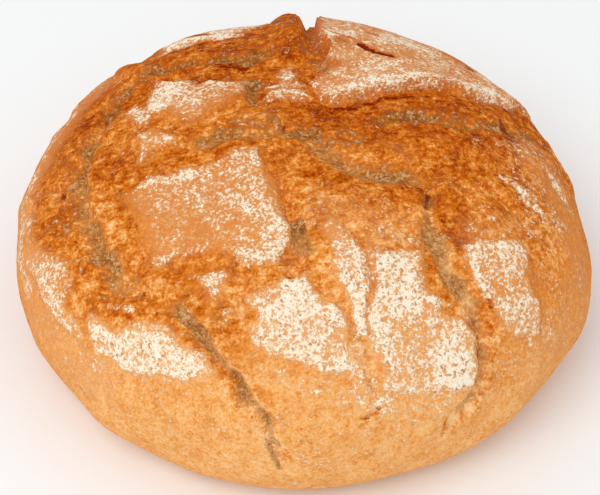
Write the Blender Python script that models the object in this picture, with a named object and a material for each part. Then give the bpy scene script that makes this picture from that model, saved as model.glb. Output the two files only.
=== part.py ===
"""A round spelt sourdough loaf: one solid that stands on its flat sole.

Lengths are in metres and +Z is up. The origin lies under the middle of the loaf, on the
surface that the loaf stands on, and -Y is its front. Places on the crust are given in
millimetres on a crust map: the crust rolled out flat round the crown, so that a place's
distance from the map's middle is its way along the crust from the crown, and its bearing
on the map is its bearing round the loaf.
"""

import math
from typing import NamedTuple

import bmesh
import bpy
import numpy as np

MM = 0.001

# The round of dough
HEIGHT = 98.0  # crown above the sole
GIRTH_LEVEL = 36.0  # height of the widest place
GIRTH_RADII = (124, 117, 118, 116, 121, 120, 123, 121, 120, 118, 121, 124)  # every 30 degrees
CROWN_FULLNESS = 2.3  # 2 is an ellipse, more is flatter on top and fuller at the shoulder
HEEL_FULLNESS = 2.2
SOLE_SHARE = 0.74  # radius of the flat sole, as a share of the girth's
HEEL_DIP = 1.5  # how far the heel runs below the sole before it is cut flat
HEEL_FROM = 0.55  # share of the crust's whole way where the relief begins to fade out
HEEL_BY = 0.66

# The mesh
SPHERE_STEPS = 8
TRIANGLES = 11300
PROFILE_POINTS = 600
EDGE_WANDER = 1.2  # how far torn edges stray from their outlines
EDGE_WANDER_LENGTH = 17.0
EDGE_SLOPE = 1.8  # half the width of the step at a plate's edge
TAPER_END = 0.35  # strength of a crack or ridge at its ends
TAPER_POWER = 0.7
LIP_POWER = 0.5  # how fast a lip rises from its ends; less is faster
HOLLOW_REACH = 0.4  # reach of the hollow below a lip, as a share of the lip's
CUTTER_SIDE = 0.4

# Unevenness: wavelength, height and seed
SWELLS = ((70.0, 1.0, 31), (33.0, 0.55, 32))
TORN_ROUGHNESS = (13.0, 0.45, 21)
WANDER_SEEDS = (11, 12)
WAVES = 28
SMOOTH_FROM = 118.0  # way from the crown where the smooth lower crust begins
SMOOTH_BY = 150.0


class Fissure(NamedTuple):
    """A crack that runs along a path on the crust map."""

    path: tuple
    width: float
    depth: float


class Ridge(NamedTuple):
    """A swelling that runs along a path on the crust map."""

    path: tuple
    width: float
    height: float


class Plate(NamedTuple):
    """A piece of the first skin, left standing proud of the torn crust round it."""

    outline: tuple
    rise: float


class Ear(NamedTuple):
    """A lifted lip along a plate's edge, with the hollow that it leaves below it."""

    path: tuple
    lift: float
    reach: float
    hollow: float


FISSURES = (
    Fissure(((-8, 68), (-28, 57), (-50, 61), (-73, 54), (-85, 36), (-92, 14), (-94, -4),
             (-90, -22), (-83, -44), (-77, -59), (-64, -70)), 9, 4.0),
    Fissure(((-55, -74), (-44, -86), (-37, -97), (-31, -104), (-28, -111), (-21, -120),
             (-15, -129), (-13, -137), (-9, -146)), 8, 3.6),
    Fissure(((-114, -1), (-103, -7), (-95, -12)), 6, 2.4),
    Fissure(((-90, -14), (-98, -23), (-113, -26)), 6, 2.0),
    Fissure(((-92, -62), (-82, -65), (-72, -64)), 6, 1.8),
    Fissure(((-22, 43), (-20, 22)), 7, 2.0),
    Fissure(((2, 58), (10, 51), (14, 43)), 7, 2.8),
    Fissure(((-48, 2), (-28, 6), (0, 9), (13, -8), (28, -15), (50, -17)), 11, 2.6),
    Fissure(((50, -17), (51, -29), (51, -39), (55, -51), (60, -62), (68, -73), (75, -83),
             (78, -94), (79, -107), (75, -119), (71, -126)), 9, 4.0),
    Fissure(((30, 18), (52, 22), (70, 20), (86, 25), (110, 31)), 9, 2.6),
    Fissure(((64, -19), (78, -14), (92, -30)), 7, 2.0),
    Fissure(((-13, -19), (-7, -33), (0, -50), (-4, -67)), 8, 3.4),
    Fissure(((21, -28), (10, -43)), 6, 1.4),
    Fissure(((8, -69), (19, -84), (27, -103), (29, -114), (34, -119), (28, -128)), 5, 1.8),
    Fissure(((26, -62), (30, -78), (28, -94)), 4, 1.4),
    Fissure(((-23, -67), (-25, -84), (-39, -83)), 6, 1.8),
    Fissure(((5, 56), (4, 80), (2, 98), (1, 112), (-4, 126), (3, 140), (-2, 162)), 11, 5.8),
    Fissure(((-88, 96), (-82, 114), (-68, 138)), 9, 3.6),
    Fissure(((14, 126), (40, 129), (68, 121), (86, 109), (108, 88)), 9, 3.4),
    Fissure(((82, 112), (80, 130), (88, 146)), 7, 2.6),
)

PLATES = (
    Plate(((-64, 49), (-57, 47), (-49, 43), (-44, 37), (-39, 42), (-23, 40), (-23, 33),
           (-33, 21), (-42, 16), (-50, 15), (-57, 19), (-64, 23)), 1.6),
    Plate(((-76, 29), (-69, 31), (-63, 26), (-62, 20), (-66, 17), (-71, 21)), 1.2),
    Plate(((-68, 12), (-62, 14), (-51, 6), (-51, 1), (-60, 0), (-62, -5), (-67, -8),
           (-66, 2)), 1.2),
    Plate(((-16, 37), (-10, 39), (-9, 48), (-4, 51), (0, 43), (3, 38), (2, 30), (0, 26),
           (-15, 27), (-13, 32)), 1.2),
    Plate(((-76, -20), (-65, -18), (-59, -14), (-50, -12), (-40, -13), (-32, -9), (-26, -5),
           (-17, -4), (-14, -12), (-11, -25), (-8, -35), (-4, -47), (-5, -55), (-10, -59),
           (-18, -63), (-27, -58), (-36, -55), (-47, -56), (-60, -60), (-64, -46),
           (-68, -32)), 2.2),
    Plate(((-41, -66), (-30, -65), (-28, -69), (-31, -73), (-35, -77), (-38, -76),
           (-40, -70)), 1.4),
    Plate(((2, -66), (5, -71), (8, -76), (13, -78), (17, -83), (19, -90), (20, -98),
           (22, -106), (12, -108), (0, -103), (-12, -101), (-19, -97), (-21, -90),
           (-17, -84), (-22, -79), (-21, -75), (-12, -74), (-9, -70)), 1.6),
    Plate(((9, -44), (13, -42), (20, -50), (26, -56), (27, -68), (28, -78), (27, -92),
           (23, -91), (21, -80), (17, -70), (12, -62), (11, -54)), 1.4),
    Plate(((31, -57), (38, -52), (48, -53), (49, -64), (52, -70), (57, -73), (59, -79),
           (69, -78), (73, -85), (75, -96), (74, -106), (62, -109), (50, -114), (36, -111),
           (31, -98), (29, -86)), 1.8),
    Plate(((64, -46), (73, -41), (85, -39), (90, -42), (91, -51), (95, -58), (102, -68),
           (101, -76), (90, -80), (81, -75), (74, -69), (67, -62), (64, -54)), 1.8),
    Plate(((8, 31), (16, 27), (36, 37), (65, 44), (80, 46), (90, 49), (100, 53), (110, 60),
           (118, 70), (104, 88), (80, 106), (52, 118), (28, 121), (8, 112), (7, 70),
           (13, 52), (5, 39)), 2.0),
    Plate(((-118, -8), (-114, -28), (-104, -38), (-100, -47), (-98, -60), (-93, -78),
           (-96, -84), (-105, -72), (-116, -50), (-124, -30), (-126, -12)), 1.2),
    Plate(((-91, -70), (-86, -72), (-80, -81), (-68, -81), (-60, -82), (-55, -86),
           (-50, -92), (-43, -98), (-35, -109), (-43, -108), (-60, -105), (-72, -102),
           (-80, -97), (-90, -88)), 1.4),
    Plate(((-62, 82), (-38, 84), (-18, 98), (-14, 124), (-34, 140), (-60, 130),
           (-73, 100)), 1.2),
    Plate(((12, 134), (42, 137), (66, 129), (74, 142), (48, 158), (14, 160)), 1.8),
    Plate(((94, 110), (114, 92), (124, 102), (112, 124), (94, 132)), 1.8),
    Plate(((-90, 84), (-104, 62), (-121, 70), (-112, 102), (-92, 112)), 1.8),
)

RIDGES = (
    Ridge(((-2, 66), (-4, 86), (-5, 104), (-6, 124)), 30, 6.2),
    Ridge(((-66, 58), (-80, 76), (-86, 90)), 18, 2.6),
    Ridge(((30, 4), (60, 2), (92, 8)), 30, 1.0),
)

EARS = (
    Ear(((8, 29), (16, 27), (36, 37), (65, 44), (80, 46), (90, 49), (104, 55)), 1.6, 16.0, 2.0),
    Ear(((8, 60), (7, 84), (7, 110)), 4.4, 10.0, 0.0),
)


def smooth_step(low, high, values):
    """0 below low, 1 above high, and an S-shaped rise between them."""
    share = np.clip((values - low) / (high - low), 0.0, 1.0)
    return share * share * (3.0 - 2.0 * share)


def unevenness(points, wavelength, seed):
    """Smooth bumps of about one wavelength, roughly between -1 and 1."""
    draws = np.random.default_rng(seed)
    waves = draws.normal(size=(WAVES, 3))
    waves *= 2 * math.pi / (wavelength * np.linalg.norm(waves, axis=1, keepdims=True))
    phases = draws.uniform(0.0, 2 * math.pi, WAVES)
    return np.cos(points @ waves.T + phases).sum(axis=1) / math.sqrt(WAVES)


def profile():
    """Way along the crust, share of the girth's radius and height, from crown to sole's middle."""
    turn = np.linspace(0.0, math.pi / 2, PROFILE_POINTS)
    upper_share = np.sin(turn) ** (2 / CROWN_FULLNESS)
    upper_height = GIRTH_LEVEL + (HEIGHT - GIRTH_LEVEL) * np.cos(turn) ** (2 / CROWN_FULLNESS)
    lower_share = SOLE_SHARE + (1 - SOLE_SHARE) * np.cos(turn) ** (2 / HEEL_FULLNESS)
    lower_height = GIRTH_LEVEL - (GIRTH_LEVEL + HEEL_DIP) * np.sin(turn) ** (2 / HEEL_FULLNESS)
    share = np.concatenate((upper_share, lower_share[1:], [0.0]))
    height = np.concatenate((upper_height, lower_height[1:], [-HEEL_DIP]))
    radius = share * np.mean(GIRTH_RADII)
    way = np.concatenate(([0.0], np.cumsum(np.hypot(np.diff(radius), np.diff(height)))))
    return way, share, height


def girth_radius(bearing):
    """Radius of the girth at a bearing: a smooth closed curve through GIRTH_RADII."""
    count = len(GIRTH_RADII)
    terms = np.fft.rfft(GIRTH_RADII) / count
    radius = np.full(bearing.shape, terms[0].real)
    for order in range(1, count // 2):
        radius += 2 * (terms[order] * np.exp(1j * order * bearing)).real
    return radius


def along_path(places, path, closed=False):
    """Distance from each place to a path, and the share of the path passed there."""
    corners = np.array(path + path[:1] if closed else path, float)
    passed = np.concatenate(([0.0], np.cumsum(np.linalg.norm(np.diff(corners, axis=0), axis=1))))
    nearest = np.full(len(places), np.inf)
    share = np.zeros(len(places))
    for index in range(len(corners) - 1):
        start, run = corners[index], corners[index + 1] - corners[index]
        step = np.clip((places - start) @ run / (run @ run), 0.0, 1.0)
        distance = np.linalg.norm(places - start - step[:, None] * run, axis=1)
        nearer = distance < nearest
        nearest[nearer] = distance[nearer]
        here = passed[index] + step * (passed[index + 1] - passed[index])
        share[nearer] = here[nearer] / passed[-1]
    return nearest, share


def inside(places, outline):
    """Which places lie inside an outline, by counting the edges crossed to the right."""
    odd = np.zeros(len(places), bool)
    for (x1, y1), (x2, y2) in zip(outline, outline[1:] + outline[:1]):
        if y1 != y2:
            crosses = (y1 > places[:, 1]) != (y2 > places[:, 1])
            edge = x1 + (places[:, 1] - y1) * (x2 - x1) / (y2 - y1)
            odd ^= crosses & (places[:, 0] < edge)
    return odd


def tapered(share):
    """1 in the middle of a path, falling off towards both of its ends."""
    middle = np.sin(math.pi * np.clip(share, 0.0, 1.0)) ** TAPER_POWER
    return TAPER_END + (1.0 - TAPER_END) * middle


def fissure_depth(places, fissure):
    """Depth of a rounded groove that tapers towards both of its ends."""
    distance, share = along_path(places, fissure.path)
    across = np.clip(1.0 - (2 * distance / fissure.width) ** 2, 0.0, None)
    return fissure.depth * across * tapered(share)


def ridge_height(places, ridge):
    """Height of a soft swelling along a path."""
    distance, share = along_path(places, ridge.path)
    return ridge.height * smooth_step(ridge.width / 2, 0.0, distance) * tapered(share)


def plate_share(places, plate):
    """1 on a plate, 0 off it, with a short slope at its edge."""
    distance = along_path(places, plate.outline, closed=True)[0]
    signed = np.where(inside(places, plate.outline), distance, -distance)
    return smooth_step(-EDGE_SLOPE, EDGE_SLOPE, signed)


def ear_height(places, ear, on_plate):
    """Lift on the plate's side of an ear's edge and hollow on its torn side."""
    distance, share = along_path(places, ear.path)
    ends = np.sin(math.pi * np.clip(share, 0.0, 1.0)) ** LIP_POWER
    lift = ear.lift * np.exp(-distance / ear.reach) * on_plate
    across = distance / (ear.reach * HOLLOW_REACH)
    hollow = ear.hollow * np.exp(-(across**2)) * (1 - on_plate)
    return ends * (lift - hollow)


def relief(points, places, way):
    """Height of the crust's relief over the smooth round, everywhere on the crust."""
    wander = np.column_stack(
        [unevenness(points, EDGE_WANDER_LENGTH, seed) for seed in WANDER_SEEDS]
    )
    torn_places = places + EDGE_WANDER * wander
    plates = np.zeros(len(places))
    rise = np.zeros(len(places))
    for plate in PLATES:
        share = plate_share(torn_places, plate)
        plates = np.maximum(plates, share)
        rise = np.maximum(rise, plate.rise * share)
    grooves = np.zeros(len(places))
    for fissure in FISSURES:
        grooves = np.maximum(grooves, fissure_depth(torn_places, fissure))
    lips = sum(ear_height(torn_places, ear, plates) for ear in EARS)
    ridges = sum(ridge_height(torn_places, ridge) for ridge in RIDGES)
    upper = 1.0 - smooth_step(SMOOTH_FROM, SMOOTH_BY, way)
    length, height, seed = TORN_ROUGHNESS
    rough = height * unevenness(points, length, seed) * (1 - plates) * upper
    swell = sum(h * unevenness(points, length, seed) for length, h, seed in SWELLS)
    heel = 1.0 - smooth_step(way.max() * HEEL_FROM, way.max() * HEEL_BY, way)
    return (rise - grooves + ridges + lips + rough + swell) * heel


def new_mesh_object(name, collection, build):
    """An object whose mesh is filled by a bmesh function."""
    shape = bmesh.new()
    build(shape)
    mesh = bpy.data.meshes.new(name)
    shape.to_mesh(mesh)
    shape.free()
    piece = bpy.data.objects.new(name, mesh)
    collection.objects.link(piece)
    return piece


def shape_crust(mesh):
    """Moves the vertices of a unit sphere onto the loaf's crust."""
    directions = np.empty(len(mesh.vertices) * 3)
    mesh.vertices.foreach_get("co", directions)
    directions = directions.reshape(-1, 3)
    ways, shares, heights = profile()
    bearing = np.arctan2(directions[:, 1], directions[:, 0])
    way = np.arccos(np.clip(directions[:, 2], -1.0, 1.0)) / math.pi * ways[-1]
    radius = np.interp(way, ways, shares) * girth_radius(bearing)
    height = np.interp(way, ways, heights)
    compass = np.column_stack((np.cos(bearing), np.sin(bearing)))
    points = np.column_stack((compass * radius[:, None], height))
    mesh.vertices.foreach_set("co", (points * MM).ravel())
    mesh.update()
    normals = np.empty(len(points) * 3)
    mesh.vertices.foreach_get("normal", normals)
    heights_over = relief(points, compass * way[:, None], way)
    points += normals.reshape(-1, 3) * heights_over[:, None]
    middle = (points[:, :2].max(axis=0) + points[:, :2].min(axis=0)) / 2
    points[:, :2] -= middle
    mesh.vertices.foreach_set("co", (points * MM).ravel())
    mesh.update()


def crust_material():
    """The finish of the baked crust."""
    finish = bpy.data.materials.new("baked_crust")
    finish.use_nodes = True
    shader = finish.node_tree.nodes["Principled BSDF"]
    shader.inputs["Base Color"].default_value = (0.62, 0.27, 0.08, 1.0)
    shader.inputs["Roughness"].default_value = 0.8
    shader.inputs["Metallic"].default_value = 0.0
    return finish


def make_board(collection):
    """The flat block that the sole is cut against."""

    def cube(shape):
        bmesh.ops.create_cube(shape, size=CUTTER_SIDE)

    board = new_mesh_object("sole_cutter", collection, cube)
    board.location.z = -CUTTER_SIDE / 2
    board.hide_render = True
    board.display_type = "WIRE"
    return board


def make_loaf(collection, board):
    """The loaf: a sphere drawn onto the crust, thinned out and cut flat below."""

    def sphere(shape):
        bmesh.ops.create_icosphere(shape, subdivisions=SPHERE_STEPS, radius=1.0)

    loaf = new_mesh_object("loaf", collection, sphere)
    shape_crust(loaf.data)
    loaf.data.shade_smooth()
    loaf.data.materials.append(crust_material())
    thin = loaf.modifiers.new("thin_out", "DECIMATE")
    thin.ratio = TRIANGLES / len(loaf.data.polygons)
    sole = loaf.modifiers.new("flat_sole", "BOOLEAN")
    sole.operation = "DIFFERENCE"
    sole.object = board
    return loaf


def clear_scene():
    """Removes whatever the scene holds."""
    for leftover in list(bpy.data.objects):
        bpy.data.objects.remove(leftover, do_unlink=True)


def new_collection(name):
    """A collection linked into the scene."""
    collection = bpy.data.collections.new(name)
    bpy.context.scene.collection.children.link(collection)
    return collection


def main():
    """Builds the loaf."""
    clear_scene()
    board = make_board(new_collection("cutters"))
    make_loaf(new_collection("spelt_sourdough_loaf"), board)


main()
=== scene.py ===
"""A round spelt sourdough loaf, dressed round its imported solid.

Lengths of the scene are in metres with +Z up and -Y at the loaf's front. The loaf's own
sizes are in millimetres. Places on the crust are given on a crust map: the crust rolled
out flat round the crown, so that a place's distance from the map's middle is its way
along the crust from the crown, and its bearing on the map is its bearing round the loaf.
"""

import functools
import itertools
import logging
import math
import operator
from collections.abc import Callable
from dataclasses import dataclass, fields
from enum import Enum
from typing import ClassVar, Union

import bmesh
import bpy
import numpy as np
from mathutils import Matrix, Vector


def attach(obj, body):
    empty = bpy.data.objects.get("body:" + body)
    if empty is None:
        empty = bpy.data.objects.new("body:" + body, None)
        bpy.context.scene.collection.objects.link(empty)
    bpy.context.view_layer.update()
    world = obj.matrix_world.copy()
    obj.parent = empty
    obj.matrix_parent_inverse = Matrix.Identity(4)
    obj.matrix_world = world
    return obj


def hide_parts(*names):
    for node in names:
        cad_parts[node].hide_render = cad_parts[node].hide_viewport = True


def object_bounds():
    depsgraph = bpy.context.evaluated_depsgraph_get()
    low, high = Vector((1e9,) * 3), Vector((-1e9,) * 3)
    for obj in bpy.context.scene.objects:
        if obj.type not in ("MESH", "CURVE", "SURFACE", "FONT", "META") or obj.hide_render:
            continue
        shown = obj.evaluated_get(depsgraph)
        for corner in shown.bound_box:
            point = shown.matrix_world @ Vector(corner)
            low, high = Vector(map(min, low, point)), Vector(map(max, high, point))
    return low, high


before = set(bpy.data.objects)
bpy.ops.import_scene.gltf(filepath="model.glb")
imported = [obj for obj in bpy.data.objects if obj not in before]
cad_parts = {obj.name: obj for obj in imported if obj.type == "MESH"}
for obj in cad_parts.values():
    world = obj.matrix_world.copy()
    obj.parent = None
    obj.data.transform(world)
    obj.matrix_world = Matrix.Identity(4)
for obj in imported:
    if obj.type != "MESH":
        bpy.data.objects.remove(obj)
CAD_BOX = [list(corner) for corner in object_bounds()]

LOG = logging.getLogger("loaf")
MM = 0.001
Array = np.ndarray
Place = tuple[float, float]  # on the crust map, to the right and to the back
Path = tuple[Place, ...]
Span = tuple[float, float]  # where a rise starts and where it ends
Bumps = tuple[float, float]  # the length and the height of a roughness
Point = tuple[float, float, float]
Colour = tuple[float, float, float, float]
Stops = tuple[tuple[float, Colour], ...]  # colours with their places on a scale

# What a crack or a ridge keeps of itself at its ends, and how blunt its taper is.
TAPER_ENDS = 0.35
TAPER_POWER = 0.7


class Mark(Enum):
    """What is painted on the crust's vertices for its finish to read."""

    FLOUR = "flour"
    DUST = "dust"
    TORN = "torn"
    VEIN = "vein"
    # Dark baking, together with shade painted under a lip and in a narrow slot.
    SCORCH = "scorch"
    BAKE = "bake"
    SLANT = "slant"


# ---------------------------------------------------------------- shapes on the crust map


def smooth_step(low: float, high: float, values: Array) -> Array:
    """An S-shaped rise.

    Args:
        low: where the rise starts.
        high: where the rise ends; it may be less than low.
        values: the numbers to read it at.

    Returns:
        0 at low, 1 at high.
    """
    share = np.clip((values - low) / (high - low), 0.0, 1.0)
    return share * share * (3.0 - 2.0 * share)


def along_path(places: Array, path: Path, closed: bool = False) -> tuple[Array, Array]:
    """Measures places against a path.

    Args:
        places: places on the crust map, one row each.
        path: the path's corners.
        closed: whether the path's end joins its start.

    Returns:
        The distance to the path, and the share of the path passed at the nearest point.
    """
    corners = np.array(path + path[:1] if closed else path, float)
    runs = np.diff(corners, axis=0)
    passed = np.concatenate(([0.0], np.cumsum(np.linalg.norm(runs, axis=1))))
    nearest = np.full(len(places), np.inf)
    share = np.zeros(len(places))
    for index, run in enumerate(runs):
        step = np.clip((places - corners[index]) @ run / (run @ run), 0.0, 1.0)
        distance = np.linalg.norm(places - corners[index] - step[:, None] * run, axis=1)
        nearer = distance < nearest
        nearest[nearer] = distance[nearer]
        here = passed[index] + step * (passed[index + 1] - passed[index])
        share[nearer] = here[nearer] / passed[-1]
    return nearest, share


def inside(places: Array, outline: Path) -> Array:
    """Tests places against an outline.

    Args:
        places: places on the crust map, one row each.
        outline: the outline's corners.

    Returns:
        Which places lie inside, by counting the edges crossed to the right.
    """
    odd = np.zeros(len(places), bool)
    for (x1, y1), (x2, y2) in zip(outline, outline[1:] + outline[:1]):
        if y1 != y2:
            crosses = (y1 > places[:, 1]) != (y2 > places[:, 1])
            edge = x1 + (places[:, 1] - y1) * (x2 - x1) / (y2 - y1)
            odd ^= crosses & (places[:, 0] < edge)
    return odd


def depth_inside(places: Array, outline: Path) -> Array:
    """Measures places against an outline.

    Args:
        places: places on the crust map, one row each.
        outline: the outline's corners.

    Returns:
        The distance to the outline, positive inside it and negative outside.
    """
    distance = along_path(places, outline, closed=True)[0]
    return np.where(inside(places, outline), distance, -distance)


def arch(share: Array, power: float) -> Array:
    """0 at both ends of a path, 1 in its middle; the lower the power, the blunter."""
    return np.sin(math.pi * np.clip(share, 0.0, 1.0)) ** power


def tapered(share: Array) -> Array:
    """1 in the middle of a path, falling off towards both of its ends."""
    return TAPER_ENDS + (1 - TAPER_ENDS) * arch(share, TAPER_POWER)


@dataclass(frozen=True)
class Fissure:
    """A crack along a path, the torn band round it, and how much grey crumb it shows.

    The crumb lies in the crack as a vein. The vein and the band get narrower along the
    path, by the share that narrowing gives.
    """

    # The vein's fade over shares of its width, from its edge to its core.
    VEIN_FADE: ClassVar[Span] = (0.85, 0.1)
    # Its fades over shares of the path, at its start and at its end.
    VEIN_START: ClassVar[Span] = (-0.04, 0.08)
    VEIN_END: ClassVar[Span] = (1.04, 0.9)
    # How much of the band's narrowing the vein takes up.
    VEIN_NARROWING: ClassVar[float] = 0.7
    # The torn crust's fade over shares of the band, from its edge inwards.
    BAND_FADE: ClassVar[Span] = (1.0, 0.45)

    path: Path
    width: float
    depth: float
    band: float
    show: float
    narrowing: float = 0.0

    def cut(self, places: Array) -> Array:
        """Cuts the crack as a rounded groove.

        Args:
            places: places on the crust map, one row each.

        Returns:
            The groove's depth, 0 away from it.
        """
        distance, share = along_path(places, self.path)
        across = np.clip(1.0 - (2 * distance / self.width) ** 2, 0.0, None)
        return self.depth * across * tapered(share)

    def vein(self, places: Array) -> Array:
        """Lays the grey crumb along the crack's bottom.

        Args:
            places: places on the crust map, one row each.

        Returns:
            The vein's strength, which is highest along its middle.
        """
        distance, share = along_path(places, self.path)
        width = self.width * (1 - self.VEIN_NARROWING * self.narrowing * share)
        ends = smooth_step(*self.VEIN_START, share) * smooth_step(*self.VEIN_END, share)
        return self.show * smooth_step(*self.VEIN_FADE, distance / width) * ends

    def torn(self, places: Array) -> Array:
        """Tears the crust open beside the crack.

        Args:
            places: places on the crust map, one row each.

        Returns:
            1 near the crack, 0 away from it.
        """
        distance, share = along_path(places, self.path)
        band = self.band * (1 - self.narrowing * share)
        return smooth_step(*self.BAND_FADE, distance / band)


@dataclass(frozen=True)
class Ridge:
    """A soft swelling along a path."""

    path: Path
    width: float
    height: float

    def swell(self, places: Array) -> Array:
        """Height of the swelling."""
        distance, share = along_path(places, self.path)
        return self.height * smooth_step(self.width / 2, 0.0, distance) * tapered(share)


@dataclass(frozen=True)
class Plate:
    """A piece of the first skin, left proud of the torn crust, with its load of flour.

    The load leans by so much for each 100 mm to the right and to the back, and fades in
    between the two depths of its edge, measured inwards from the outline.
    """

    outline: Path
    rise: float
    flour: float
    lean: tuple[float, float] = (0.0, 0.0)
    edge: Span = (-2.0, 3.0)

    def share(self, depth: Array, slope: float) -> Array:
        """1 on the plate, 0 off it, with a slope of that half width at its edge."""
        return smooth_step(-slope, slope, depth)

    def load(self, places: Array, depth: Array) -> Array:
        """Loads the plate with flour, which thins out towards its edge.

        Args:
            places: places on the crust map, one row each.
            depth: how far each lies inside the plate's outline.

        Returns:
            The share of the crust that the flour covers.
        """
        middle = np.mean(self.outline, axis=0)
        leaning = (places - middle) @ np.array(self.lean) / 100
        return np.clip(self.flour + leaning, 0.0, 1.0) * smooth_step(*self.edge, depth)


@dataclass(frozen=True)
class Ear:
    """A lifted lip along a plate's edge, with the hollow that it leaves below it."""

    # How blunt the lip's ends are, and how much steeper the hollow falls than the lip.
    END_POWER: ClassVar[float] = 0.5
    HOLLOW_STEEPNESS: ClassVar[float] = 2.5

    path: Path
    lift: float
    reach: float
    hollow: float

    def height(self, places: Array, on_plate: Array) -> Array:
        """Lifts the lip on the plate's side and sinks the hollow on the torn side.

        Args:
            places: places on the crust map, one row each.
            on_plate: 1 on a plate, 0 off it.

        Returns:
            Heights over the crust, below 0 in the hollow.
        """
        distance, share = along_path(places, self.path)
        away = distance / self.reach
        lift = self.lift * np.exp(-away) * on_plate
        hollow = self.hollow * np.exp(-((away * self.HOLLOW_STEEPNESS) ** 2)) * (1 - on_plate)
        return arch(share, self.END_POWER) * (lift - hollow)


@dataclass(frozen=True)
class Stroke:
    """A soft stroke along a path; a negative strength takes away what it would add."""

    path: Path
    width: float
    strength: float

    def paint(self, places: Array) -> Array:
        """The stroke's strength at each place, full over the middle third of its width."""
        distance = along_path(places, self.path)[0]
        return self.strength * smooth_step(self.width / 2, self.width / 6, distance)


# The cracks from the left over the top to the right, then the front's, the back's and the
# narrow slot in the back right plate.
FISSURES = (
    Fissure(
        ((-8, 68), (-28, 57), (-50, 61), (-73, 54), (-85, 36), (-92, 14), (-94, -4), (-90, -22),
         (-83, -44), (-77, -59), (-64, -70)),
        width=9, depth=4.0, band=24, show=0.85,
    ),
    Fissure(
        ((-55, -74), (-44, -86), (-37, -97), (-31, -104), (-28, -111), (-21, -120), (-15, -129),
         (-13, -137), (-9, -146)),
        width=8, depth=3.6, band=14, narrowing=0.7, show=0.95,
    ),
    Fissure(((-114, -1), (-103, -7), (-95, -12)), width=6, depth=2.4, band=14, show=0.6),
    Fissure(((-90, -14), (-98, -23), (-113, -26)), width=6, depth=2.0, band=14, show=0.5),
    Fissure(((-92, -62), (-82, -65), (-72, -64)), width=6, depth=1.8, band=14, show=0.4),
    Fissure(((-22, 43), (-20, 22)), width=7, depth=2.0, band=18, show=0.95),
    Fissure(((2, 58), (10, 51), (14, 43)), width=7, depth=2.8, band=20, show=0.75),
    Fissure(
        ((-48, 2), (-28, 6), (0, 9), (13, -8), (28, -15), (50, -17)),
        width=11, depth=2.6, band=34, show=0.8,
    ),
    Fissure(
        ((50, -17), (51, -29), (51, -39), (55, -51), (60, -62), (68, -73), (75, -83), (78, -94),
         (79, -107), (75, -119), (71, -126)),
        width=9, depth=4.0, band=17, narrowing=0.6, show=0.72,
    ),
    Fissure(
        ((30, 18), (52, 22), (70, 20), (86, 25), (110, 31)),
        width=9, depth=2.6, band=36, show=0.75,
    ),
    Fissure(((64, -19), (78, -14), (92, -30)), width=7, depth=2.0, band=24, show=0.35),
    Fissure(
        ((-13, -19), (-7, -33), (0, -50), (-4, -67)),
        width=8, depth=3.4, band=18, narrowing=-0.5, show=0.35,
    ),
    Fissure(((21, -28), (10, -43)), width=6, depth=1.4, band=8, show=0.45),
    Fissure(
        ((8, -69), (19, -84), (27, -103), (29, -114), (34, -119), (28, -128)),
        width=5, depth=1.8, band=7, narrowing=0.5, show=0.5,
    ),
    Fissure(((26, -62), (30, -78), (28, -94)), width=4, depth=1.4, band=5, show=0.3),
    Fissure(((-23, -67), (-25, -84), (-39, -83)), width=6, depth=1.8, band=12, show=0.5),
    Fissure(
        ((5, 56), (4, 80), (2, 98), (1, 112), (-4, 126), (3, 140), (-2, 162)),
        width=11, depth=5.8, band=24, show=0.45,
    ),
    Fissure(((-88, 96), (-82, 114), (-68, 138)), width=9, depth=3.6, band=18, show=0.8),
    Fissure(
        ((14, 126), (40, 129), (68, 121), (86, 109), (108, 88)),
        width=9, depth=3.4, band=18, show=0.8,
    ),
    Fissure(((82, 112), (80, 130), (88, 146)), width=7, depth=2.6, band=16, show=0.7),
    Fissure(((24, 66.5), (34, 64.5), (42, 62.5)), width=4, depth=2.6, band=3, show=0.0),
    Fissure(((12, 67.5), (24, 66)), width=3, depth=1.2, band=3, show=0.0),
)

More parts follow.
